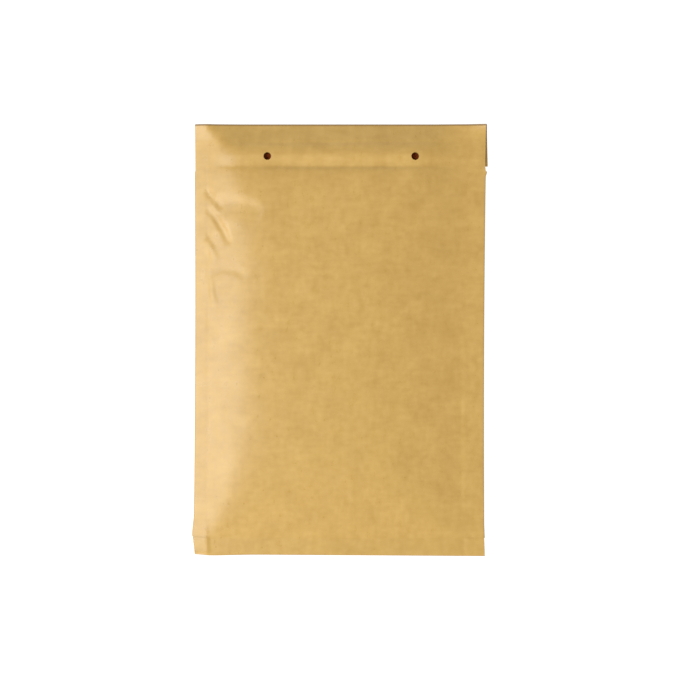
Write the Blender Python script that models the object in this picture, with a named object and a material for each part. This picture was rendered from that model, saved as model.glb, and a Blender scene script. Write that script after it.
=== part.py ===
"""Kraft mailer lined with bubble film, empty, lying face up with its flap folded under.

Metres, +Z up. X runs across the mailer, +Y towards the crease of the flap, Z through the thickness.
The pieces are laid out from the bottom fold (y = 0) and the middle of the bag's width (x = 0), and
each object is then moved so that the origin is under the middle of the whole mailer.
"""

import math

import bmesh
import bpy

MM = 0.001

# Stock: what the pieces are cut from, and the space that two layers keep where they lie together.
PAPER = 0.14 * MM
ADHESIVE = 0.10 * MM
RELEASE_PAPER = 0.08 * MM
LAYER_GAP = 0.30 * MM

# Outline of the closed bag, over its folds.
BAG_WIDTH = 240.0 * MM
MOUTH_HEIGHT = 353.0 * MM
MOUTH_CLEARANCE = 2.6 * MM
WAIST = 1.2 * MM

# Margins of the front sheet that are folded round and glued to the back sheet.
LEFT_WRAP = 11.0 * MM
RIGHT_WRAP = 15.0 * MM
BOTTOM_WRAP = 14.0 * MM
WRAP_NOTCH = 1.2 * MM
WRAP_BELOW_FLAP = 3.5 * MM
LEFT_CORNER_TAPER = 2.4 * MM
RIGHT_CORNER_TAPER = 0.5 * MM

# Flap, with its sealing strip and the paper that covers the strip until the bag is used.
FLAP_LENGTH = 35.0 * MM
FLAP_SHIFT = 2.0 * MM
STRIP_BELOW_CREASE = 6.0 * MM
STRIP_INSET = 3.0 * MM
ADHESIVE_WIDTH = 14.0 * MM
RELEASE_MARGIN = 1.5 * MM

# Clasp holes, punched through the front sheet, the lining and the back sheet.
HOLE_DIAMETER = 6.3 * MM
HOLE_SPACING = 121.5 * MM
HOLE_OFFSET = 0.8 * MM
HOLE_BELOW_CREASE = 26.8 * MM
HOLE_SIDES = 20

# Swell of the lining, measured from the flat seams.
FRONT_CROWN = 5.0 * MM
FRONT_SIDE_SHOULDER = 70.0 * MM
FRONT_BOTTOM_SHOULDER = 75.0 * MM
FRONT_HEAD_SLOPE = 32.0 * MM
BACK_CROWN = 3.0 * MM
BACK_SIDE_SHOULDER = 45.0 * MM
BACK_BOTTOM_SHOULDER = 50.0 * MM
GROOVE_DEPTH = 0.9 * MM
GROOVE_LOWER_SIDE = 7.0 * MM
GROOVE_UPPER_SIDE = 14.0 * MM

# Lining: a pocket of bubble film, sealed along both sides and folded at the bottom.
LINING_INSET = 9.0 * MM
LINING_BELOW_MOUTH = 13.0 * MM
LINING_SEAL = 8.0 * MM
POCKET_GAP = 0.5 * MM

# Fineness of the curved sheets.
COLUMN_STEP = 21.0 * MM
ROW_STEP = 26.0 * MM
HEAD_ROW_STEP = 5.5 * MM
FOLD_STEPS = 4
NEAR = 0.05 * MM

# Folds: each turns its sheet back over the layers that it holds, with one gap between neighbours.
layer_pitch = PAPER + LAYER_GAP
wrap_radius = layer_pitch
flap_drop = PAPER + ADHESIVE + RELEASE_PAPER + 3 * LAYER_GAP
crease_radius = (layer_pitch + flap_drop) / 2

# Lines across the length, from the bottom fold up.
bottom_line = wrap_radius + PAPER / 2
crease_line = MOUTH_HEIGHT + MOUTH_CLEARANCE
crease_edge = crease_line + crease_radius + PAPER / 2
flap_end = crease_edge - FLAP_LENGTH
wrap_top = flap_end - WRAP_BELOW_FLAP
wrap_bottom = BOTTOM_WRAP + WRAP_NOTCH
lining_bottom = BOTTOM_WRAP + LINING_INSET
lining_top = MOUTH_HEIGHT - LINING_BELOW_MOUTH
release_top = crease_edge - STRIP_BELOW_CREASE
adhesive_top = release_top - RELEASE_MARGIN
adhesive_bottom = adhesive_top - ADHESIVE_WIDTH
release_bottom = adhesive_bottom - RELEASE_MARGIN
hole_line = crease_edge - HOLE_BELOW_CREASE

# Lines along the width, from the middle.
edge_line = BAG_WIDTH / 2 - bottom_line
strip_edge = edge_line - STRIP_INSET
swell_left = LEFT_WRAP - BAG_WIDTH / 2
swell_right = BAG_WIDTH / 2 - RIGHT_WRAP
lining_left = swell_left + LINING_INSET
lining_right = swell_right - LINING_INSET

# Levels of the two sheets where they lie flat in the seams. The middle of the back lies on z = 0.
back_seam = PAPER / 2 + BACK_CROWN
front_seam = back_seam + layer_pitch

# The back rises towards the mouth just enough for the flap's free edge to lie level with its middle.
back_head_slope = (MOUTH_HEIGHT - flap_end) / (1 - math.sqrt(flap_drop / BACK_CROWN))

# The origin is under the middle of the whole mailer, flap included.
left_extent = BAG_WIDTH / 2
right_extent = max(BAG_WIDTH / 2, edge_line + FLAP_SHIFT)
ORIGIN = ((left_extent - right_extent) / 2, -crease_edge / 2, 0.0)


def shoulder(distance, length):
    """0 at a seam, rising along a parabola to 1 at this length and beyond."""
    share = min(max(distance / length, 0.0), 1.0)
    return 1 - (1 - share) ** 2


def across(x, length):
    """Share of the full swell at x, between the side seams."""
    return shoulder(x - swell_left, length) * shoulder(swell_right - x, length)


def groove(y):
    """Depth of the dent that the flap's free edge presses across the front."""
    side = GROOVE_UPPER_SIDE if y > flap_end else GROOVE_LOWER_SIDE
    share = min(abs(y - flap_end) / side, 1.0)
    return GROOVE_DEPTH * (1 - share * share * (3 - 2 * share))


def front_height(x, y):
    """Middle of the front sheet's thickness."""
    along = shoulder(y - BOTTOM_WRAP, FRONT_BOTTOM_SHOULDER) * shoulder(crease_line - y, FRONT_HEAD_SLOPE)
    return front_seam + across(x, FRONT_SIDE_SHOULDER) * (FRONT_CROWN * along - groove(y))


def back_height(x, y):
    """Middle of the back sheet's thickness."""
    along = shoulder(y - BOTTOM_WRAP, BACK_BOTTOM_SHOULDER) * shoulder(MOUTH_HEIGHT - y, back_head_slope)
    return back_seam - BACK_CROWN * across(x, BACK_SIDE_SHOULDER) * along


def flap_height(x, y):
    """Middle of the flap's thickness, under the back sheet and the sealing strip."""
    return back_height(x, y) - flap_drop


def drawn_in(x, y):
    """x after the swell has drawn the sides of the bag in."""
    swell = shoulder(y - BOTTOM_WRAP, FRONT_BOTTOM_SHOULDER) * shoulder(crease_line - y, FRONT_BOTTOM_SHOULDER)
    return x * (1 - swell * WAIST / (BAG_WIDTH / 2))


def tapered(x, y):
    """x in the bottom corners, where the cut edges run in towards the bottom fold."""
    taper = LEFT_CORNER_TAPER if x < 0 else RIGHT_CORNER_TAPER
    share = min(max(1 - y / BOTTOM_WRAP, 0.0), 1.0)
    return x * (1 - share * taper / edge_line)


def stations(marks, step):
    """The marks in order, with even steps between neighbours that are no longer than this one."""
    kept = []
    for mark in sorted(marks):
        if not kept or mark - kept[-1] > NEAR:
            kept.append(mark)
    lines = kept[:1]
    for low, high in zip(kept, kept[1:]):
        steps = math.ceil((high - low) / step - NEAR)
        lines += [low + (high - low) * k / steps for k in range(1, steps + 1)]
    return lines


def between(lines, low, high):
    """The lines from low to high, with both ends."""
    return [line for line in lines if low - NEAR <= line <= high + NEAR]


columns = stations(
    [
        -edge_line,
        -strip_edge,
        swell_left,
        lining_left,
        lining_left + LINING_SEAL,
        swell_left + BACK_SIDE_SHOULDER,
        swell_left + FRONT_SIDE_SHOULDER,
        swell_right - FRONT_SIDE_SHOULDER,
        swell_right - BACK_SIDE_SHOULDER,
        lining_right - LINING_SEAL,
        lining_right,
        swell_right,
        strip_edge,
        edge_line,
    ],
    COLUMN_STEP,
)
groove_start = flap_end - GROOVE_LOWER_SIDE
rows = stations(
    [
        bottom_line,
        BOTTOM_WRAP,
        wrap_bottom,
        lining_bottom,
        lining_bottom + LINING_SEAL,
        BOTTOM_WRAP + BACK_BOTTOM_SHOULDER,
        BOTTOM_WRAP + FRONT_BOTTOM_SHOULDER,
        MOUTH_HEIGHT - back_head_slope,
        groove_start,
    ],
    ROW_STEP,
)
rows += stations(
    [
        groove_start,
        wrap_top,
        flap_end,
        release_bottom,
        adhesive_bottom,
        lining_top,
        adhesive_top,
        release_top,
        MOUTH_HEIGHT,
        crease_line,
    ],
    HEAD_ROW_STEP,
)[1:]


def material(name, colour, roughness, alpha=1.0):
    made = bpy.data.materials.new(name)
    made.use_nodes = True
    shader = made.node_tree.nodes["Principled BSDF"]
    shader.inputs["Base Color"].default_value = (*colour, 1.0)
    shader.inputs["Roughness"].default_value = roughness
    shader.inputs["Metallic"].default_value = 0.0
    shader.inputs["Alpha"].default_value = alpha
    return made


def new_object(name, points, faces, stuff):
    """An object from points keyed by (column, row, layer) and faces that name those keys."""
    keys = list(points)
    index = {key: n for n, key in enumerate(keys)}
    placed = [(drawn_in(points[key][0], points[key][1]), points[key][1], points[key][2]) for key in keys]
    mesh = bpy.data.meshes.new(name)
    mesh.from_pydata(placed, [], [[index[key] for key in face] for face in faces])
    obj = bpy.data.objects.new(name, mesh)
    obj.location = ORIGIN
    obj.data.materials.append(stuff)
    bpy.context.scene.collection.objects.link(obj)
    return obj


def cell(column, row, layer=0):
    """Two triangles of the grid, with the same diagonal everywhere."""
    a = (column, row, layer)
    b = (column + 1, row, layer)
    c = (column + 1, row + 1, layer)
    d = (column, row + 1, layer)
    return [(a, b, c), (a, c, d)]


def thicken(obj, thickness):
    """Gives a sheet its thickness, half to each side of its middle surface."""
    solidify = obj.modifiers.new("thickness", "SOLIDIFY")
    solidify.thickness = thickness
    solidify.offset = 0.0
    solidify.use_even_offset = True


def flat_sheet(name, xs, ys, height, thickness, stuff, shift=0.0):
    """A sheet over part of the grid, at the height that a function gives."""
    points = {}
    for i, x in enumerate(xs):
        for j, y in enumerate(ys):
            points[i, j, 0] = (x + shift, y, height(x + shift, y))
    faces = []
    for i in range(len(xs) - 1):
        for j in range(len(ys) - 1):
            faces += cell(i, j)
    obj = new_object(name, points, faces, stuff)
    thicken(obj, thickness)
    return obj


def slab(name, xs, ys, lower, upper, stuff):
    """A closed solid over part of the grid, between two heights."""
    points = {}
    for i, x in enumerate(xs):
        for j, y in enumerate(ys):
            points[i, j, 0] = (x, y, lower(x, y))
            points[i, j, 1] = (x, y, upper(x, y))
    faces = []
    last_column = len(xs) - 1
    last_row = len(ys) - 1
    for i in range(last_column):
        for j in range(last_row):
            faces += cell(i, j, 1)
            faces += [face[::-1] for face in cell(i, j, 0)]
    for i in range(last_column):
        faces.append(((i, 0, 0), (i + 1, 0, 0), (i + 1, 0, 1), (i, 0, 1)))
        faces.append(((i + 1, last_row, 0), (i, last_row, 0), (i, last_row, 1), (i + 1, last_row, 1)))
    for j in range(last_row):
        faces.append(((0, j + 1, 0), (0, j, 0), (0, j, 1), (0, j + 1, 1)))
        faces.append(((last_column, j, 0), (last_column, j + 1, 0), (last_column, j + 1, 1), (last_column, j, 1)))
    return new_object(name, points, faces, stuff)


def fold(radius):
    """Points of a half turn, as (distance out, drop) from the line where it starts."""
    turns = [math.pi * k / FOLD_STEPS for k in range(1, FOLD_STEPS + 1)]
    return [(radius * math.sin(turn), radius * (1 - math.cos(turn))) for turn in turns]


def add_side_wrap(points, faces, side, wrap):
    """Folds one side margin of the front sheet round to the back, between the notches."""
    last_column = len(columns) - 1
    edge = 0 if side < 0 else last_column
    turn = fold(wrap_radius)
    wrapped = [j for j, y in enumerate(rows) if wrap_bottom - NEAR <= y <= wrap_top + NEAR]
    for j in wrapped:
        y = rows[j]
        for k, (out, drop) in enumerate(turn, 1):
            points[edge + side * k, j, 0] = (side * (edge_line + out), y, front_seam - drop)
        inner = side * (BAG_WIDTH / 2 - wrap)
        points[edge + side * (FOLD_STEPS + 1), j, 0] = (inner, y, front_seam - 2 * wrap_radius)
    first = edge if side > 0 else -(FOLD_STEPS + 1)
    for k in range(FOLD_STEPS + 1):
        for j in wrapped[:-1]:
            faces += cell(first + k, j)


def add_bottom_wrap(points, faces):
    """Folds the bottom margin of the front sheet up over the back."""
    turn = fold(wrap_radius)
    for i, x in enumerate(columns):
        for k, (out, drop) in enumerate(turn, 1):
            y = bottom_line - out
            points[i, -k, 0] = (tapered(x, y), y, front_seam - drop)
        top = (tapered(x, 0.0), BOTTOM_WRAP, front_seam - 2 * wrap_radius)
        points[i, -(FOLD_STEPS + 1), 0] = top
    for i in range(len(columns) - 1):
        for k in range(FOLD_STEPS + 1):
            faces += cell(i, -k - 1)


def add_flap(points, faces):
    """Folds the head of the front sheet over the mouth and down the back."""
    last_row = len(rows) - 1
    flap_rows = between(rows, flap_end, crease_line)[::-1]
    turn = fold(crease_radius)
    for i, x in enumerate(columns):
        for k, (out, drop) in enumerate(turn, 1):
            shifted = x + FLAP_SHIFT * k / FOLD_STEPS
            points[i, last_row + k, 0] = (shifted, crease_line + out, front_seam - drop)
        for k, y in enumerate(flap_rows[1:], FOLD_STEPS + 1):
            shifted = x + FLAP_SHIFT
            points[i, last_row + k, 0] = (shifted, y, flap_height(shifted, y))
    for i in range(len(columns) - 1):
        for k in range(FOLD_STEPS + len(flap_rows) - 1):
            faces += cell(i, last_row + k)


def build_front_sheet(kraft):
    """Front, side and bottom wraps and flap: one sheet of kraft, folded round everything else."""
    points = {}
    for i, x in enumerate(columns):
        for j, y in enumerate(rows):
            at = tapered(x, y)
            points[i, j, 0] = (at, y, front_height(at, y))
    faces = []
    for i in range(len(columns) - 1):
        for j in range(len(rows) - 1):
            faces += cell(i, j)
    add_side_wrap(points, faces, -1, LEFT_WRAP)
    add_side_wrap(points, faces, 1, RIGHT_WRAP)
    add_bottom_wrap(points, faces)
    add_flap(points, faces)
    obj = new_object("kraft_front_sheet", points, faces, kraft)
    thicken(obj, PAPER)
    return obj


def build_back_sheet(kraft):
    """Plain sheet that closes the back, held inside the wraps and open at the mouth."""
    xs = between(columns, -edge_line, edge_line)
    ys = between(rows, bottom_line, MOUTH_HEIGHT)
    points = {}
    for i, x in enumerate(xs):
        for j, y in enumerate(ys):
            at = tapered(x, y)
            points[i, j, 0] = (at, y, back_height(at, y))
    faces = []
    for i in range(len(xs) - 1):
        for j in range(len(ys) - 1):
            faces += cell(i, j)
    obj = new_object("kraft_back_sheet", points, faces, kraft)
    thicken(obj, PAPER)
    return obj


def build_lining(film):
    """Bubble film, folded into a flat pocket that opens at the mouth."""
    xs = between(columns, lining_left, lining_right)
    ys = between(rows, lining_bottom, lining_top)
    clearance = PAPER / 2 + LAYER_GAP
    lining = slab(
        "bubble_lining",
        xs,
        ys,
        lambda x, y: back_height(x, y) + clearance,
        lambda x, y: front_height(x, y) - clearance,
        film,
    )
    pocket_xs = between(columns, lining_left + LINING_SEAL, lining_right - LINING_SEAL)
    pocket_ys = between(rows, lining_bottom + LINING_SEAL, lining_top) + [MOUTH_HEIGHT]
    pocket = slab(
        "pocket_cutter",
        pocket_xs,
        pocket_ys,
        lambda x, y: (back_height(x, y) + front_height(x, y) - POCKET_GAP) / 2,
        lambda x, y: (back_height(x, y) + front_height(x, y) + POCKET_GAP) / 2,
        film,
    )
    cut(lining, pocket)
    return lining


def build_strip(name, low, high, level, thickness, stuff):
    """A band across the inner face of the flap, which stops short of its sides."""
    xs = between(columns, -strip_edge, strip_edge)
    ys = between(rows, low, high)
    return flat_sheet(name, xs, ys, lambda x, y: flap_height(x, y) + level, thickness, stuff, FLAP_SHIFT)


def cut(obj, cutter):
    """Takes the cutter's shape out of the object, and keeps the cutter out of sight."""
    cutter.hide_render = True
    cutter.display_type = "WIRE"
    boolean = obj.modifiers.new("cut", "BOOLEAN")
    boolean.operation = "DIFFERENCE"
    boolean.solver = "EXACT"
    boolean.object = cutter


def hole_cutter(name, x):
    """A round punch, from above the front to halfway between the back sheet and the flap."""
    low = back_height(x, hole_line) - flap_drop / 2
    high = front_seam + FRONT_CROWN + PAPER
    mesh = bpy.data.meshes.new(name)
    shape = bmesh.new()
    bmesh.ops.create_cone(
        shape,
        cap_ends=True,
        segments=HOLE_SIDES,
        radius1=HOLE_DIAMETER / 2,
        radius2=HOLE_DIAMETER / 2,
        depth=high - low,
    )
    shape.to_mesh(mesh)
    shape.free()
    obj = bpy.data.objects.new(name, mesh)
    centre = drawn_in(x, hole_line)
    obj.location = (ORIGIN[0] + centre, ORIGIN[1] + hole_line, (low + high) / 2)
    bpy.context.scene.collection.objects.link(obj)
    return obj


def build():
    for obj in list(bpy.data.objects):
        bpy.data.objects.remove(obj)
    kraft = material("kraft_paper", (0.62, 0.40, 0.14), 0.62)
    film = material("bubble_film", (0.80, 0.83, 0.85), 0.25, 0.5)
    glue = material("seal_adhesive", (0.75, 0.68, 0.48), 0.40)
    release = material("release_paper", (0.86, 0.84, 0.78), 0.45)

    front_sheet = build_front_sheet(kraft)
    back_sheet = build_back_sheet(kraft)
    lining = build_lining(film)
    adhesive_level = (PAPER + ADHESIVE) / 2 + LAYER_GAP
    release_level = adhesive_level + (ADHESIVE + RELEASE_PAPER) / 2 + LAYER_GAP
    build_strip("seal_adhesive", adhesive_bottom, adhesive_top, adhesive_level, ADHESIVE, glue)
    build_strip("release_strip", release_bottom, release_top, release_level, RELEASE_PAPER, release)

    for side, word in ((-1, "left"), (1, "right")):
        punch = hole_cutter(f"{word}_hole_cutter", HOLE_OFFSET + side * HOLE_SPACING / 2)
        for obj in (front_sheet, lining, back_sheet):
            cut(obj, punch)


build()
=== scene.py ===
"""A padded mailing bag of brown kraft paper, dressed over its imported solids.

Lengths are in metres. Each piece is shaped in the bag's own plan, with x from the middle of its width
and y from its bottom fold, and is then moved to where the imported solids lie.
"""

import math

import bpy
import numpy as np
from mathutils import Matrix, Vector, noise


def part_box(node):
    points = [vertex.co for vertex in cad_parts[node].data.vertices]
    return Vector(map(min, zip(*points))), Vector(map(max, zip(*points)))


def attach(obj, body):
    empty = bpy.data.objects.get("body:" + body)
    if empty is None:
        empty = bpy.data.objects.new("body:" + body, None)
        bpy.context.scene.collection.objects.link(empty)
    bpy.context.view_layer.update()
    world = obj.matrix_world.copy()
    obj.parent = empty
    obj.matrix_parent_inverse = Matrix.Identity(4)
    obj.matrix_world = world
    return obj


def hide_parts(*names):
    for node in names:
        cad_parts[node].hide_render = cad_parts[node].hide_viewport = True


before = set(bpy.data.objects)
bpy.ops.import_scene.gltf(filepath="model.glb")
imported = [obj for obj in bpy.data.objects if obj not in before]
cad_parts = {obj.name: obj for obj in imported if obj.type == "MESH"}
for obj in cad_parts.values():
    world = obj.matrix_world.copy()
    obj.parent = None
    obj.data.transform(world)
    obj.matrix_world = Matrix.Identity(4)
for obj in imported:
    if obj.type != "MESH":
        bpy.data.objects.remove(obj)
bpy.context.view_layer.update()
bpy.ops.object.select_all(action="DESELECT")


# The kraft front sheet.
# One blank of machine-glazed brown kraft, about 90 g per square metre. Its sides and its bottom margin are
# folded round and glued to the back sheet, and its head is folded over the mouth as the flap.

mm = 0.001
paper = 0.14 * mm
layer_gap = 0.30 * mm
layer_pitch = paper + layer_gap
adhesive_thickness = 0.10 * mm
release_thickness = 0.08 * mm

back_low, back_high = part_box("kraft_back_sheet")
front_low, front_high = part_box("kraft_front_sheet")
strip_low, strip_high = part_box("release_strip")
middle = (back_low.x + back_high.x) / 2
bottom_fold = front_low.y
crease = front_high.y - bottom_fold
mouth = back_high.y - bottom_fold
half_width = (back_high.x - back_low.x) / 2 + layer_pitch + paper / 2

left_wrap = 11.0 * mm
right_wrap = 15.0 * mm
bottom_wrap = 14.0 * mm
wrap_notch = 1.2 * mm
flap_length = 35.0 * mm
flap_shift = 0.7 * mm
flap_turn = 1.5 * mm
wrap_below_flap = 3.5 * mm

wrap_radius = layer_pitch
flap_drop = paper + adhesive_thickness + release_thickness + 3 * layer_gap
crease_radius = (layer_pitch + flap_drop) / 2
edge_line = half_width - wrap_radius - paper / 2
bottom_line = wrap_radius + paper / 2
crease_line = crease - crease_radius - paper / 2
flap_end = crease - flap_length
wrap_top = flap_end - wrap_below_flap
wrap_bottom = bottom_wrap + wrap_notch
swell_left = left_wrap - half_width
swell_right = half_width - right_wrap

# The back rests on the floor in its middle, and both sheets meet in the seams above it. A droop is how
# far an edge hangs below that seam line, and a spring is how far an upper corner stands up from it.
back_crown = 3.0 * mm
front_crown = 5.0 * mm
back_seam = paper / 2 + back_crown
front_seam = back_seam + layer_pitch
left_droop = 1.5 * mm
right_droop = -0.1 * mm
head_droop = 1.5 * mm
left_spring = 1.3 * mm
right_spring = 2.4 * mm


def rise(distance, length):
    """0 at a seam, rising along a parabola to 1 at this length and beyond."""
    share = np.clip(distance / length, 0.0, 1.0)
    return 1 - (1 - share) ** 2


def ramp(value, low, high):
    """0 below low, 1 above high, and smooth between them."""
    share = np.clip((value - low) / (high - low), 0.0, 1.0)
    return share * share * (3 - 2 * share)


def least(shares, rounding=0.12):
    """The least of several shares, with the hips between them rounded."""
    total = -rounding * np.log(sum(np.exp(-share / rounding) for share in shares))
    return np.clip(total / (1 - rounding * math.log(len(shares))), 0.0, None)


def inside_seams(x):
    """Distance from the nearer side seam, towards the middle of the bag."""
    return np.minimum(x - swell_left, swell_right - x)


def droop(x, y):
    """How far a layer hangs below the seam line: at the sides, and along the crease of the flap."""
    left = np.clip((swell_left - x) / left_wrap, 0.0, 1.2) * (0.65 + 0.35 * ramp(y, 6 * mm, 24 * mm))
    right = np.clip((x - swell_right) / right_wrap, 0.0, 1.2)
    inward = inside_seams(x)
    at_crease = 1 - ramp(crease_line - y, 0.0, 30 * mm)
    hanging = left_droop * left + right_droop * right + head_droop * at_crease * ramp(inward, 0.0, 30 * mm)
    sprung = np.clip(1 - (crease_line - y) / (13 * mm), 0.0, 1.0) ** 1.4
    left_lift = left_spring * (1 - ramp(inward, -3 * mm, 9 * mm))
    right_lift = right_spring * np.clip((2 * mm - inward) / right_wrap, 0.0, 1.2) ** 1.3
    return hanging - sprung * np.where(x > 0, right_lift, left_lift)


def uneven(x, y, size, seed):
    """Soft random unevenness, between about -1 and 1, with hollows of this size."""
    flat = zip(np.ravel(x), np.ravel(y))
    values = [noise.noise((px / size, py / size, seed)) for px, py in flat]
    return np.array(values).reshape(np.shape(x))


def away_from(route, x, y):
    """Distance from a route of straight runs, the side of it, and the share of its length so far."""
    best = np.full(np.shape(x), 1.0)
    side = np.zeros(np.shape(x))
    along = np.zeros(np.shape(x))
    lengths = [math.dist(a, b) for a, b in zip(route, route[1:])]
    passed = 0.0
    for (ax, ay), (bx, by), length in zip(route, route[1:], lengths):
        dx = (bx - ax) / length
        dy = (by - ay) / length
        run = np.clip((x - ax) * dx + (y - ay) * dy, 0.0, length)
        gap = np.hypot(x - ax - run * dx, y - ay - run * dy)
        nearer = gap < best
        best = np.where(nearer, gap, best)
        side = np.where(nearer, np.sign((x - ax) * dy - (y - ay) * dx), side)
        along = np.where(nearer, (passed + run) / sum(lengths), along)
        passed += length
    return best, side, along


def fold_mark(x, y, route, depth, right_side, left_side):
    """A crease pressed along a route, with flanks of two widths, shallow at both of its ends."""
    gap, side, along = away_from([(px * mm, py * mm) for px, py in route], x, y)
    width = np.where(side > 0, right_side, left_side)
    flank = np.clip(1 - gap / width, 0.0, 1.0)
    return depth * flank * flank * (3 - 2 * flank) * np.sqrt(np.clip(4 * along * (1 - along), 0.0, 1.0))


def wrinkles(x, y):
    """Creases that run in from the left seam, where the lining puckers it, and a few small dents."""
    dip = fold_mark(x, y, [(-111, 303), (-106, 297), (-102, 292), (-98, 286)], 0.55 * mm, 5 * mm, 5 * mm)
    dip += fold_mark(x, y, [(-102, 293), (-88, 291), (-76, 289), (-64, 283)], 0.75 * mm, 17 * mm, 9 * mm)
    dip += fold_mark(x, y, [(-109, 287), (-102, 278), (-96, 268), (-91, 257)], 0.75 * mm, 5 * mm, 5 * mm)
    dip += fold_mark(x, y, [(-110, 270), (-107, 262), (-103, 255)], 0.25 * mm, 4 * mm, 3 * mm)
    dip -= fold_mark(x, y, [(-112, 261), (-107, 252), (-102, 243)], 0.48 * mm, 5 * mm, 6 * mm)
    dip += fold_mark(x, y, [(-106, 233), (-97, 236), (-87, 235), (-78, 230)], 0.32 * mm, 4 * mm, 7 * mm)
    dip -= fold_mark(x, y, [(-107, 230), (-106, 217), (-103, 206)], 0.34 * mm, 5 * mm, 4 * mm)
    dip += fold_mark(x, y, [(-110, 196), (-103, 184), (-101, 170)], 0.20 * mm, 6 * mm, 5 * mm)
    dip += fold_mark(x, y, [(-110, 120), (-104, 112), (-101, 96)], 0.18 * mm, 7 * mm, 5 * mm)
    dip += fold_mark(x, y, [(-97, 113), (-88, 109), (-78, 108)], 0.14 * mm, 5 * mm, 6 * mm)
    dip += fold_mark(x, y, [(61, 219), (75, 217), (90, 214)], 0.15 * mm, 3 * mm, 4 * mm)
    dip += fold_mark(x, y, [(64, 185), (81, 182)], 0.13 * mm, 3 * mm, 4 * mm)
    dip += fold_mark(x, y, [(66, 202), (89, 200)], 0.10 * mm, 3 * mm, 3 * mm)
    dip += fold_mark(x, y, [(52, 266), (84, 267)], 0.08 * mm, 3 * mm, 3 * mm)
    dip += fold_mark(x, y, [(80, 257), (92, 255)], 0.12 * mm, 3 * mm, 3 * mm)
    dip -= fold_mark(x, y, [(4, 64), (14, 46), (9, 29)], 0.12 * mm, 5 * mm, 5 * mm)
    dip += fold_mark(x, y, [(104, 153), (109, 148)], 0.15 * mm, 2 * mm, 2 * mm)
    return dip


def groove(x, y):
    """The dent that the flap's free edge presses across the front: a soft flank above, a step below."""
    deepest = 1.8 * mm
    line = flap_end - 0.5 * mm
    above = np.clip(1 - (y - line) / (12 * mm), 0.0, 1.0)
    below = np.clip(line - y, 0.0, None)
    step = 0.38 * np.exp(-below / (1.8 * mm)) + 0.62 * np.exp(-below / (10 * mm))
    profile = np.where(y > line, above * above * (3 - 2 * above), step)
    inward = inside_seams(x)
    ends = ramp(inward, 2 * mm, 18 * mm) * (0.28 + 0.72 * ramp(inward, 12 * mm, 70 * mm))
    return deepest * profile * ends * (1 + 0.3 * uneven(x, 0 * y, 38 * mm, 21.0))


def corner_pad(x, y, inner, height):
    """A bottom corner, lifted by the layers that are folded in beneath it."""
    inside = 1 - ramp(np.abs(x), inner - 2.6 * mm, inner)
    below = 1 - ramp(y, bottom_wrap - 0.4 * mm, bottom_wrap + 1.6 * mm)
    return height * (1 - inside) * below * ramp(y, 0.0, 2 * mm)


def seam_marks(x, y):
    """Edges of the glued margins, which show through the front sheet as faint lines."""
    left = [(-109.4, 316), (-109.2, 120), (-109.6, 20)]
    dip = fold_mark(x, y, left, 0.10 * mm, 1.6 * mm, 2.4 * mm)
    right = [(103.0, 180), (103.6, 128), (103.4, 80), (103.8, 26)]
    dip -= fold_mark(x, y, right, 0.16 * mm, 1.8 * mm, 5.0 * mm)
    head = [(-92, 341.0), (-40, 340.4), (20, 341.2), (110, 341.0)]
    dip += fold_mark(x, y, head, 0.20 * mm, 1.8 * mm, 2.4 * mm)
    dip -= np.where(x < 0, corner_pad(x, y, 108.4 * mm, 0.36 * mm), corner_pad(x, y, 105.2 * mm, 0.22 * mm))
    return dip


def eased(distance, soft):
    """A distance from a seam that starts softly, so that the sheet leaves the seam without a kink."""
    return np.sqrt(np.clip(distance, 0.0, None) ** 2 + soft ** 2) - soft


def head_share(y):
    """How far the front has risen from the crease: a straight slope, a crest, and then a slow rise."""
    share_per_metre = 34.0
    straight = 15 * mm
    crest = 26 * mm
    below = crease_line - y
    bend = np.clip((below - straight) / (crest - straight), 0.0, 1.0)
    slope = np.clip(below, 0.0, straight) + (crest - straight) * (bend - bend * bend / 2)
    return share_per_metre * slope + 0.27 * rise(below - straight, 95 * mm)


def front_height(x, y):
    """Middle of the front sheet's thickness."""
    below = crease_line - y
    left = rise(x - swell_left, 44 * mm + 22 * mm * ramp(below, 35 * mm, 120 * mm))
    right = rise(eased(swell_right - x, 12 * mm), 66 * mm + 34 * mm * ramp(below, 4 * mm, 95 * mm))
    bottom = rise(y - bottom_wrap, 125 * mm)
    swell = least([left, right, bottom, head_share(y)])
    inside = ramp(swell, 0.0, 0.5)
    waves = 0.22 * mm * uneven(x, y, 46 * mm, 3.0) + 0.09 * mm * uneven(x, y, 17 * mm, 8.0)
    lifted = front_crown * swell - groove(x, y) + waves * inside
    return front_seam - droop(x, y) + lifted - wrinkles(x, y) - seam_marks(x, y)


def back_height(x, y):
    """Middle of the back sheet's thickness."""
    head_length = (mouth - flap_end) / (1 - math.sqrt(flap_drop / back_crown))
    sides = rise(x - swell_left, 45 * mm) * rise(swell_right - x, 45 * mm)
    ends = rise(y - bottom_wrap, 50 * mm) * rise(mouth - y, head_length)
    return back_seam - droop(x, y) * (1 - sides * ends) - back_crown * sides * ends


def flap_height(x, y):
    """Middle of the flap's thickness, under the back sheet and the sealing strip."""
    return back_height(x, y) - flap_drop


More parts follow.
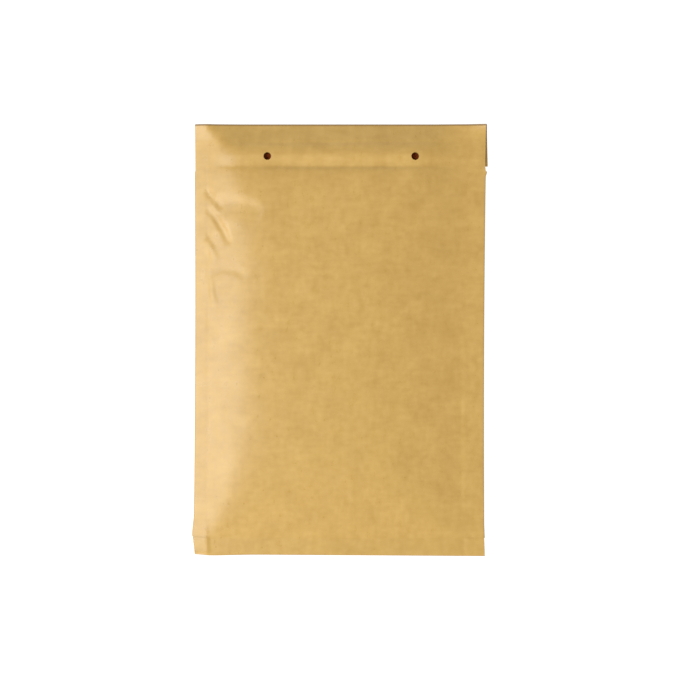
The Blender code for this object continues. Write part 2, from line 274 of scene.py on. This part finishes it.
def settle(x, y):
    """The plan of the bag as it was folded: a little out of square, with uneven bottom corners."""
    up = y / crease
    spread = 0.4 * mm + 0.45 * mm * up - 1.1 * mm * np.clip(4 * up * (1 - up), 0.0, 1.0)
    lean = -1.6 * mm * (1 - up) - 0.27 * mm * up
    across = x / half_width
    on_left = np.clip(-across, 0.0, 1.0)
    on_right = np.clip(across, 0.0, 1.0)
    flare_line = 17.8 * mm
    reach = np.where(y > flare_line, 9.5 * mm, 10.5 * mm)
    flare = 1.2 * mm * np.exp(-((y - flare_line) / reach) ** 2) * on_left ** 6
    taper = 0.8 * mm * np.clip(1 - y / bottom_wrap, 0.0, 1.0) ** 1.5 * on_left
    right_flare = 0.9 * mm * np.clip(1 - y / (26 * mm), 0.0, 1.0) * on_right ** 6
    nub = 1.0 * mm * np.exp(-((y - wrap_top + 1.5 * mm) / (2 * mm)) ** 2) * on_right ** 30
    moved = x * (1 + spread / half_width) + lean + taper - flare + right_flare + nub
    skew = -0.75 * mm * across * np.clip(1 - up, 0.0, 1.0) ** 4
    sag_line = -106 * mm
    sag_reach = np.where(x > sag_line, 22 * mm, 8 * mm)
    near_foot = np.clip(1 - y / (40 * mm), 0.0, 1.0) ** 2
    sag = 0.85 * mm * np.exp(-((x - sag_line) / sag_reach) ** 2) * near_foot
    return moved, y + skew - sag


def turned(distance, radius):
    """A fold of this radius: how far out of its line a sheet lies, and how far it has dropped."""
    angle = np.clip(distance / radius, 0.0, math.pi)
    beyond = np.clip(distance - math.pi * radius, 0.0, None)
    out = np.where(distance > 0, radius * np.sin(angle) - beyond, distance)
    return out, radius * (1 - np.cos(angle))


def lines(*marks):
    """Grid lines from the first mark on; each later mark says how far, and the longest step up to it."""
    found = [marks[0]]
    for end, step in marks[1:]:
        steps = max(1, math.ceil((end - found[-1]) / step - 0.01))
        found += list(np.linspace(found[-1], end, steps + 1)[1:])
    return np.array(found)


def corners_of(piece):
    """Where the vertices of a piece are, one row for each."""
    flat = np.empty(len(piece.data.vertices) * 3)
    piece.data.vertices.foreach_get("co", flat)
    return flat.reshape(-1, 3)


def new_grid(name, across, along):
    """A flat grid, added as a primitive, with lines spaced as given and the flat places as its UV map."""
    bpy.ops.mesh.primitive_grid_add(
        x_subdivisions=len(across) - 1, y_subdivisions=len(along) - 1, size=1.0
    )
    grid = bpy.context.object
    grid.name = name
    grid.data.name = name
    even = corners_of(grid)
    x = np.interp(even[:, 0] + 0.5, np.linspace(0.0, 1.0, len(across)), across)
    y = np.interp(even[:, 1] + 0.5, np.linspace(0.0, 1.0, len(along)), along)
    corner = np.empty(len(grid.data.loops), dtype=np.int32)
    grid.data.loops.foreach_get("vertex_index", corner)
    flat_place = np.stack([x[corner], y[corner]], axis=1)
    grid.data.uv_layers.active.data.foreach_set("uv", flat_place.ravel())
    move_to(grid, x, y, np.zeros(len(x)))
    return grid, x, y


def move_to(piece, x, y, z):
    """Puts every vertex of a piece at its new place."""
    piece.data.vertices.foreach_set("co", np.stack([x, y, z], axis=1).ravel())
    piece.data.update()


def into_place(piece, x, y, z):
    """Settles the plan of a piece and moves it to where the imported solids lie."""
    settled_x, settled_y = settle(x, y)
    move_to(piece, settled_x + middle, settled_y + bottom_fold, z)


def place_of(x, y):
    """Where one spot of the plan comes to lie in the frame."""
    settled_x, settled_y = settle(np.array(x), np.array(y))
    return float(settled_x) + middle, float(settled_y) + bottom_fold


def pick_faces(piece, chosen):
    """Opens a piece in edit mode, with only those faces selected that the test picks."""
    bpy.ops.object.mode_set(mode="EDIT")
    bpy.ops.mesh.select_all(action="DESELECT")
    bpy.ops.object.mode_set(mode="OBJECT")
    for face in piece.data.polygons:
        face.select = chosen(face)
    bpy.ops.object.mode_set(mode="EDIT")
    bpy.ops.mesh.select_mode(type="FACE")


def give_thickness(piece, thickness):
    """Thickens a sheet to both sides of its middle, and applies it."""
    solidify = piece.modifiers.new("thickness", "SOLIDIFY")
    solidify.thickness = thickness
    solidify.offset = 0.0
    bpy.ops.object.modifier_apply(modifier=solidify.name)


def punch(piece, radius):
    """Cuts both clasp holes with a round punch of this radius, and applies the cuts."""
    cutters = []
    for x, y in hole_places:
        bpy.ops.object.select_all(action="DESELECT")
        bpy.ops.mesh.primitive_cylinder_add(
            vertices=40,
            radius=radius,
            depth=punch_start - punch_end,
            location=(x, y, (punch_end + punch_start) / 2),
        )
        cutters.append(bpy.context.object)
    for cutter in cutters:
        bpy.context.view_layer.objects.active = piece
        cut = piece.modifiers.new("punched", "BOOLEAN")
        cut.operation = "DIFFERENCE"
        cut.solver = "EXACT"
        cut.object = cutter
        bpy.ops.object.modifier_apply(modifier=cut.name)
        bpy.data.objects.remove(cutter)


def smooth(piece):
    """Shades a piece smooth, apart from its cut edges."""
    bpy.ops.object.select_all(action="DESELECT")
    piece.select_set(True)
    bpy.context.view_layer.objects.active = piece
    bpy.ops.object.shade_smooth_by_angle(angle=math.radians(40))
    piece.select_set(False)


side_turn = math.pi * wrap_radius
head_turn = math.pi * crease_radius
left_margin = edge_line + side_turn + swell_left + edge_line
right_margin = edge_line + side_turn + edge_line - swell_right
foot_margin = bottom_line - side_turn - (bottom_wrap - bottom_line)
head_margin = crease_line + head_turn + crease_line - flap_end

blank_across = lines(
    -left_margin,
    (-edge_line - side_turn, 3.6 * mm),
    (-edge_line, 0.24 * mm),
    (swell_left, 1.6 * mm),
    (swell_left + 45 * mm, 1.25 * mm),
    (swell_right - 6 * mm, 1.8 * mm),
    (edge_line, 1.5 * mm),
    (edge_line + side_turn, 0.24 * mm),
    (right_margin, 3.6 * mm),
)
blank_along = lines(
    foot_margin,
    (bottom_line - side_turn, 3.6 * mm),
    (bottom_line, 0.24 * mm),
    (bottom_wrap - 1.5 * mm, 1.8 * mm),
    (wrap_bottom + 1.5 * mm, 0.9 * mm),
    (flap_end - 10 * mm, 1.8 * mm),
    (crease_line, 1.2 * mm),
    (crease_line + head_turn, 0.36 * mm),
    (head_margin, 3.0 * mm),
)

front, blank_x, blank_y = new_grid("front_sheet", blank_across, blank_along)


def in_notch(face):
    """Whether a face of the blank is cut away beside the ends of the side wraps."""
    return abs(face.center.x) > edge_line and not wrap_bottom < face.center.y < wrap_top


pick_faces(front, in_notch)
bpy.ops.mesh.delete(type="FACE")
bpy.ops.object.mode_set(mode="OBJECT")
blank_x, blank_y = corners_of(front).T[:2]

# Every spot of the flat blank is led round the folds: past the sides, past the foot and over the crease.
out_x, side_drop = turned(np.abs(blank_x) - edge_line, wrap_radius)
folded_x = np.sign(blank_x) * (edge_line + out_x)
out_foot, foot_drop = turned(bottom_line - blank_y, wrap_radius)
folded_y = bottom_line - out_foot
out_head, head_drop = turned(blank_y - crease_line, crease_radius)
over_crease = blank_y > crease_line
folded_y = np.where(over_crease, crease_line + out_head, folded_y)
turned_share = np.clip((blank_y - crease_line) / head_turn, 0.0, 1.0)
beyond_turn = np.clip((blank_y - crease_line - head_turn) / flap_length, 0.0, 1.0)
folded_x = folded_x + flap_shift * turned_share + flap_turn * beyond_turn

in_flap = blank_y > crease_line + head_turn
in_crease = over_crease & ~in_flap
in_wrap = (side_drop > 0) | (foot_drop > 0)
on_front = ~(in_flap | in_crease | in_wrap)
folded_z = np.where(on_front, front_height(folded_x, folded_y), 0.0)
seam_level = front_seam - droop(folded_x, folded_y)
seam_level = seam_level - seam_marks(folded_x, folded_y) * (foot_drop < wrap_radius)
folded_z = np.where(in_wrap, seam_level - side_drop - foot_drop, folded_z)
folded_z = np.where(in_crease, front_seam - droop(folded_x, folded_y) - head_drop, folded_z)
folded_z = np.where(in_flap, flap_height(folded_x, folded_y), folded_z)
into_place(front, folded_x, folded_y, folded_z)
give_thickness(front, paper)

# The punch goes in from the front and stops above the flap.
hole_radius = 3.15 * mm
hole_from_crease = 26.8 * mm
hole_line = crease - hole_from_crease
hole_columns = (-59.95 * mm, 61.55 * mm)
hole_places = [place_of(hole_x, hole_line) for hole_x in hole_columns]
punch_start = 12 * mm
punch_end = 1.1 * mm
punch(front, hole_radius)
smooth(front)


class Wire:
    """An output of a material's node, which can be used in sums: each sum adds its Math node."""

    def __init__(self, tree, socket=None):
        self.tree = tree
        self.socket = socket

    def node(self, kind, settings, sockets, output=0):
        """Adds any other node: its settings first, then the values or wires of its sockets."""
        made = self.tree.nodes.new(kind)
        for name, value in settings.items():
            setattr(made, name, value)
        for name, value in sockets.items():
            if isinstance(value, Wire):
                self.tree.links.new(value.socket, made.inputs[name])
            else:
                made.inputs[name].default_value = value
        return Wire(self.tree, made.outputs[output])

    def sum_of(self, operation, first, second=0.0):
        """Adds the Math node of one operation."""
        return self.node("ShaderNodeMath", {"operation": operation}, {0: first, 1: second})

    def __add__(self, other):
        return self.sum_of("ADD", self, other)

    def __radd__(self, other):
        return self.sum_of("ADD", other, self)

    def __sub__(self, other):
        return self.sum_of("SUBTRACT", self, other)

    def __rsub__(self, other):
        return self.sum_of("SUBTRACT", other, self)

    def __mul__(self, other):
        return self.sum_of("MULTIPLY", self, other)

    def __rmul__(self, other):
        return self.sum_of("MULTIPLY", other, self)

    def __abs__(self):
        return self.sum_of("ABSOLUTE", self)

    def root(self):
        """The square root."""
        return self.sum_of("SQRT", self)

    def places(self, kind):
        """Coordinates of this kind, which patterns are laid on."""
        return self.node("ShaderNodeTexCoord", {}, {}, output=kind)

    def part(self, axis):
        """One part of a vector, by its axis."""
        return self.node("ShaderNodeSeparateXYZ", {}, {"Vector": self}, output=axis)

    def noise(self, spacing, detail=2.0, roughness=0.5, stretch=(1.0, 1.0, 1.0), offset=(0.0, 0.0, 0.0)):
        """Noise with features of this spacing in metres, -0.5 to 0.5, stretched along the wire's axes."""
        scaled = {"Scale": tuple(1.0 / part for part in stretch), "Location": offset}
        laid = self.node("ShaderNodeMapping", {}, {"Vector": self, **scaled})
        found = self.node(
            "ShaderNodeTexNoise",
            {},
            {"Vector": laid, "Scale": 1.0 / spacing, "Detail": detail, "Roughness": roughness},
        )
        return found - 0.5

    def step(self, low, high):
        """0 below low and 1 above high."""
        return self.node(
            "ShaderNodeMapRange",
            {"interpolation_type": "SMOOTHSTEP"},
            {"Value": self, "From Min": low, "From Max": high},
        )

    def mixed(self, first, second):
        """Goes from the first colour to the second as the wire goes from 0 to 1."""
        factor, colour_a, colour_b, result = 0, 6, 7, 2
        sockets = {factor: self, colour_a: first, colour_b: second}
        return self.node("ShaderNodeMix", {"data_type": "RGBA"}, sockets, output=result)

    def feeds(self, shader, socket):
        """Links the wire to one of a shader's sockets."""
        self.tree.links.new(self.socket, shader.inputs[socket])


def new_material(name, facts):
    """A Principled material with these fixed values, ready for its wires."""
    made = bpy.data.materials.new(name)
    made.use_nodes = True
    shader = made.node_tree.nodes["Principled BSDF"]
    for socket, value in facts.items():
        shader.inputs[socket].default_value = value
    return made, Wire(made.node_tree), shader


def bumped(shader, height, distance):
    """Raises a surface's height, given as a share of this distance, through a Bump node."""
    normal = height.node("ShaderNodeBump", {}, {"Height": height, "Distance": distance, "Strength": 1.0})
    normal.feeds(shader, "Normal")


def painted_fold_shade(across, along):
    """Painted shade: how much the kraft is darkened along its side, bottom and head folds, which turn from
    the light.
    """
    fold_shade_share = 0.0
    for where, line, reach, share in (
        (abs(across), edge_line + side_turn * 0.45, 0.8 * mm, 0.5),
        (along, bottom_line - side_turn * 0.45, 0.8 * mm, 0.7),
        (along, crease_line + head_turn * 0.35, 1.7 * mm, 1.0),
    ):
        apart = abs(where - line)
        fold_shade_share = fold_shade_share + (1.0 - apart.step(reach * 0.55, reach * 1.2)) * share
    return fold_shade_share


def under_holes(across, along):
    """Where the flap's inner face, which looks up, lies under the clasp holes, out of the light."""
    shaded_radius = 5.5 * mm
    clear_radius = 7.5 * mm
    upward = across.places("Normal").part("Z")
    down = along - (2 * crease_line + head_turn - hole_line)
    shade = 0.0
    for hole_x in hole_columns:
        aside = across - (hole_x - flap_shift - flap_turn * 0.7)
        apart = (aside * aside + down * down).root()
        shade = shade + (1.0 - apart.step(shaded_radius, clear_radius))
    return shade * upward.step(0.1, 0.5)


def tinted(base, shares):
    """A base colour with a share of each of its parts."""
    return tuple(part * share for part, share in zip(base, shares)) + (1.0,)


def kraft_material(name, base, glaze):
    """Brown kraft: clouds of denser fibre, long fibres both ways, and painted shade along its folds and
    under the clasp holes.
    """
    dense = tinted(base, (0.87, 0.84, 0.74))
    pale = tinted(base, (1.13, 1.16, 1.28))
    # Painted shade for the folds, darker where they turn away from the light.
    fold_shade_colour = tinted(base, (0.60, 0.56, 0.60))
    in_shade = tinted(base, (0.90, 0.24, 0.03))
    made, start, shader = new_material(name, {"IOR": 1.5, "Specular IOR Level": 0.9})
    plan = start.places("UV")
    across = plan.part("X")
    along = plan.part("Y")
    clouds = plan.noise(22 * mm, detail=3.0, roughness=0.6)
    mottle = plan.noise(5.5 * mm, detail=1.0, roughness=0.5, offset=(4.0, 1.0, 0.0))
    fibres = plan.noise(
        4.2 * mm, detail=1.0, roughness=0.4, stretch=(1.0, 2.6, 1.0), offset=(5.0, 5.0, 3.0)
    )
    cross_fibres = plan.noise(
        4.0 * mm, detail=1.0, roughness=0.4, stretch=(3.0, 1.0, 1.0), offset=(2.0, 7.0, 0.0)
    )
    tone = 0.5 + clouds * 1.15 + mottle * 0.5 + fibres * 0.36 + cross_fibres * 0.46
    # The painted shade along the folds is mixed into the kraft's tone.
    kraft_with_fold_shade = painted_fold_shade(across, along).mixed(tone.mixed(dense, pale), fold_shade_colour)
    shade = under_holes(across, along)
    shade.mixed(kraft_with_fold_shade, in_shade).feeds(shader, "Base Color")
    rough = glaze + mottle * 0.10 + fibres * 0.12 - clouds * 0.06 + shade * 0.7
    rough.feeds(shader, "Roughness")
    bumped(shader, 0.5 + mottle * 0.5 + fibres * 0.35 + cross_fibres * 0.35, 0.03 * mm)
    return made


kraft = kraft_material("kraft_paper", (0.548, 0.336, 0.084), 0.31)


def dress(piece, material, node):
    """Gives a piece its material, its body and the solid that it stands for."""
    piece.data.materials.clear()
    piece.data.materials.append(material)
    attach(piece, "root")
    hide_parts(node)


dress(front, kraft, "kraft_front_sheet")


# The kraft back sheet.
# A plain sheet of the same kraft. It is caught in the three glued margins of the front sheet and is open
# along the mouth, under the flap.

back_across = lines(-edge_line, (swell_left, 2.7 * mm), (swell_right, 3.2 * mm), (edge_line, 2.7 * mm))
back_along = lines(bottom_line, (bottom_wrap, 2.7 * mm), (wrap_top, 3.2 * mm), (mouth, 2.4 * mm))
back, back_x, back_y = new_grid("back_sheet", back_across, back_along)
into_place(back, back_x, back_y, back_height(back_x, back_y))
give_thickness(back, paper)
punch(back, hole_radius)
smooth(back)
dress(back, kraft, "kraft_back_sheet")


# The sealing strip and its release paper.
# A band of clear pressure-sensitive adhesive on the inner face of the flap. White silicone paper covers
# it until the bag is used.

release_edges = (strip_low.y - bottom_fold, strip_high.y - bottom_fold)
adhesive_inset = 1.5 * mm
strip_inset = 3.0 * mm


def flap_band(name, low, high, level, thickness):
    """A band across the inner face of the flap, which stops short of its sides."""
    end = edge_line - strip_inset
    band, x, y = new_grid(name, lines(-end, (end, 3.2 * mm)), lines(low, (high, 2.4 * mm)))
    shifted = x + flap_shift + flap_turn * (crease_line - y) / flap_length
    into_place(band, shifted, y, flap_height(shifted, y) + level)
    give_thickness(band, thickness)
    smooth(band)
    return band


adhesive_level = (paper + adhesive_thickness) / 2 + layer_gap
release_level = adhesive_level + (adhesive_thickness + release_thickness) / 2 + layer_gap
adhesive = flap_band(
    "adhesive_band",
    release_edges[0] + adhesive_inset,
    release_edges[1] - adhesive_inset,
    adhesive_level,
    adhesive_thickness,
)
release = flap_band("release_paper", *release_edges, release_level, release_thickness)

glue_facts = {"Base Color": (0.75, 0.68, 0.48, 1.0), "IOR": 1.48}
glue_finish, start, shader = new_material("seal_adhesive", glue_facts)
plan = start.places("UV")
(0.22 + plan.noise(2 * mm) * 0.2).feeds(shader, "Roughness")
bumped(shader, plan.noise(1.4 * mm, stretch=(4.0, 1.0, 1.0)), 0.04 * mm)
dress(adhesive, glue_finish, "seal_adhesive")

release_finish, start, shader = new_material("release_paper", {"IOR": 1.45})
plan = start.places("UV")
cloud = 0.5 + plan.noise(5 * mm, detail=3.0)
cloud.mixed((0.80, 0.78, 0.71, 1.0), (0.90, 0.89, 0.84, 1.0)).feeds(shader, "Base Color")
(0.36 + plan.noise(3 * mm) * 0.12).feeds(shader, "Roughness")
bumped(shader, plan.noise(0.8 * mm, detail=3.0), 0.02 * mm)
dress(release, release_finish, "release_strip")


# The bubble lining.
# One web of clear polyethylene bubble film, folded at the bottom and sealed along both sides. Its flat
# film faces the pocket, and its bubbles stand out towards the kraft.

film_thickness = 0.12 * mm
lining_low, lining_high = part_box("bubble_lining")
lining_bottom = lining_low.y - bottom_fold
lining_top = lining_high.y - bottom_fold
lining_inset = 9 * mm
lining_left = swell_left + lining_inset
lining_right = swell_right - lining_inset
pocket_gap = 0.5 * mm
bubble_pitch = 11.0 * mm
bubble_radius = 4.8 * mm
least_bubble = 0.7 * mm
least_height = 0.1 * mm
bubble_foot = film_thickness * 0.7
torn_radius = 5.0 * mm


def pocket_middle(x, y):
    """Halfway between the two sheets."""
    return (front_height(x, y) + back_height(x, y)) / 2


def wall_room(x, y):
    """How thick each wall of the lining may be, from the pocket's face to the kraft."""
    between = front_height(x, y) - back_height(x, y)
    return (between - paper - pocket_gap) / 2 - layer_gap


lining_across = lines(lining_left, (lining_right, 5.2 * mm))
lining_along = lines(lining_bottom, (lining_top, 5.2 * mm))
films = []
for side, word in ((1, "front"), (-1, "back")):
    film, film_x, film_y = new_grid(f"{word}_film", lining_across, lining_along)
    level = pocket_middle(film_x, film_y) + side * (pocket_gap + film_thickness) / 2
    into_place(film, film_x, film_y, level)
    give_thickness(film, film_thickness)
    punch(film, torn_radius)
    films.append(film)

# One bubble, as high as 1: a straight wall, a rounded shoulder and a low crown.
wall_top = 0.65
shoulder_top = 0.90
shoulder_width = 0.86
crown_width = 0.62
bpy.ops.object.select_all(action="DESELECT")
bpy.ops.mesh.primitive_cylinder_add(vertices=12, radius=bubble_radius, depth=1.0, location=(0.0, 0.0, 0.5))
bubble = bpy.context.object
bpy.ops.object.transform_apply(location=True, rotation=False, scale=False)
pick_faces(bubble, lambda face: face.normal.z > 0.5)
bpy.ops.transform.translate(value=(0.0, 0.0, wall_top - 1.0))
for climb, width in ((shoulder_top - wall_top, shoulder_width), (1.0 - shoulder_top, crown_width)):
    bpy.ops.mesh.extrude_region_move(TRANSFORM_OT_translate={"value": (0.0, 0.0, climb)})
    bpy.ops.transform.resize(value=(width, width, 1.0))
bpy.ops.mesh.poke()
bpy.ops.object.mode_set(mode="OBJECT")
dome = corners_of(bubble)
dome_faces = [tuple(face.vertices) for face in bubble.data.polygons]
bpy.data.objects.remove(bubble)

# The bubbles stand in staggered rows, where there is room for them and clear of the torn holes.
points = []
faces = []
row_pitch = bubble_pitch * math.sqrt(3) / 2
row_count = int((lining_top - lining_bottom - 2 * bubble_radius) / row_pitch) + 1
column_count = int((lining_right - lining_left - 2 * bubble_radius) / bubble_pitch) + 1
for row in range(row_count):
    for column in range(column_count - row % 2):
        x = lining_left + bubble_radius + bubble_pitch * (column + 0.5 * (row % 2))
        y = lining_bottom + bubble_radius + row_pitch * row
        if wall_room(np.array(x), np.array(y)) < least_bubble:
            continue
        at_x, at_y = place_of(x, y)
        if min(math.dist((at_x, at_y), place) for place in hole_places) < bubble_radius + torn_radius:
            continue
        edge_x = x + dome[:, 0]
        edge_y = y + dome[:, 1]
        tall = np.maximum(wall_room(edge_x, edge_y) - bubble_foot, least_height)
        for side in (1, -1):
            base = pocket_middle(edge_x, edge_y) + side * (pocket_gap / 2 + bubble_foot)
            first = len(points)
            heights = base + side * dome[:, 2] * tall
            points += zip(at_x + dome[:, 0], at_y + dome[:, 1], heights)
            for face in dome_faces:
                faces.append([first + corner for corner in face[::side]])
lining = bpy.data.objects.new("bubble_lining_film", bpy.data.meshes.new("bubble_lining_film"))
lining.data.from_pydata(points, [], faces)
bpy.context.scene.collection.objects.link(lining)

bpy.ops.object.select_all(action="DESELECT")
for film in films:
    film.select_set(True)
lining.select_set(True)
bpy.context.view_layer.objects.active = lining
bpy.ops.object.join()
smooth(lining)

film_finish, start, shader = new_material(
    "bubble_film",
    {"Base Color": (0.80, 0.83, 0.85, 1.0), "IOR": 1.51, "Alpha": 0.45},
)
plan = start.places("Object")
(0.16 + plan.noise(4 * mm) * 0.14).feeds(shader, "Roughness")
bumped(shader, plan.noise(1.6 * mm, detail=3.0), 0.05 * mm)
dress(lining, film_finish, "bubble_lining")


# The floor and the light.
# A white table that glows by itself, in a pale room with a darker ceiling. One soft box stands past the
# bottom of the bag on its left, and a weak one overhead, to the left, gives that shoulder its sheen.


def grey(level):
    """A grey of this level."""
    return (level, level, level, 1.0)


floor_level = -0.1 * mm
bpy.ops.object.select_all(action="DESELECT")
bpy.ops.mesh.primitive_plane_add(size=6.0, location=(0.0, 0.0, floor_level))
floor = bpy.context.object
floor.name = "floor"
bpy.ops.object.transform_apply(location=True, rotation=False, scale=False)
floor_finish, start, shader = new_material(
    "white_table", {"Roughness": 0.8, "Specular IOR Level": 0.2, "Emission Strength": 0.93}
)
shader.inputs["Emission Color"].default_value = grey(1.0)
paleness = 0.5 + start.places("Object").noise(0.4)
paleness.mixed(grey(0.21), grey(0.24)).feeds(shader, "Base Color")
# The floor isn't sampled as a lamp, which keeps dark specks out of the paper.
floor_finish.cycles.emission_sampling = "NONE"
floor.data.materials.append(floor_finish)


def soft_box(name, place, target, size, power):
    """A soft box of width and length, turned to its target."""
    made = bpy.data.lights.new(name, "AREA")
    made.shape = "RECTANGLE"
    made.size, made.size_y = size
    made.energy = power
    lamp = bpy.data.objects.new(name, made)
    bpy.context.scene.collection.objects.link(lamp)
    lamp.location = place
    aim = np.subtract(target, place)
    turn = math.atan2(aim[1], aim[0]) - math.pi / 2
    tip = math.acos(-aim[2] / np.linalg.norm(aim))
    lamp.rotation_euler = (tip, 0.0, turn)


soft_box("left_box", (-2.7, -2.9, 2.5), (0.0, 0.0, 0.0), (1.4, 1.2), 210.0)
soft_box("glow_box", (-0.57, -0.06, 1.1), (-0.1, 0.0, 0.0), (0.70, 0.54), 4.0)

world = bpy.data.worlds.new("room")
world.use_nodes = True
upward = Wire(world.node_tree).places("Generated").part("Z")
walls = grey(0.62)
ceiling = grey(0.26)
upward.step(0.55, 1.0).mixed(walls, ceiling).feeds(world.node_tree.nodes["Background"], "Color")
bpy.context.scene.world = world
bpy.context.scene.view_settings.view_transform = "Standard"


# The camera.
# It looks straight down from far off, so that the bag fills the photograph's frame as it does there.

camera_height = 1.6
frame_width = 0.5782
frame_centre = (6.9 * mm, -8.52 * mm)
view_level = 5.0 * mm
lens_sensor = 36.0
camera_data = bpy.data.cameras.new("camera")
camera_data.sensor_width = lens_sensor
camera_data.lens = lens_sensor * (camera_height - view_level) / frame_width
camera = bpy.data.objects.new("camera", camera_data)
camera.location = (frame_centre[0], frame_centre[1], camera_height)
bpy.context.scene.collection.objects.link(camera)
bpy.context.scene.camera = camera
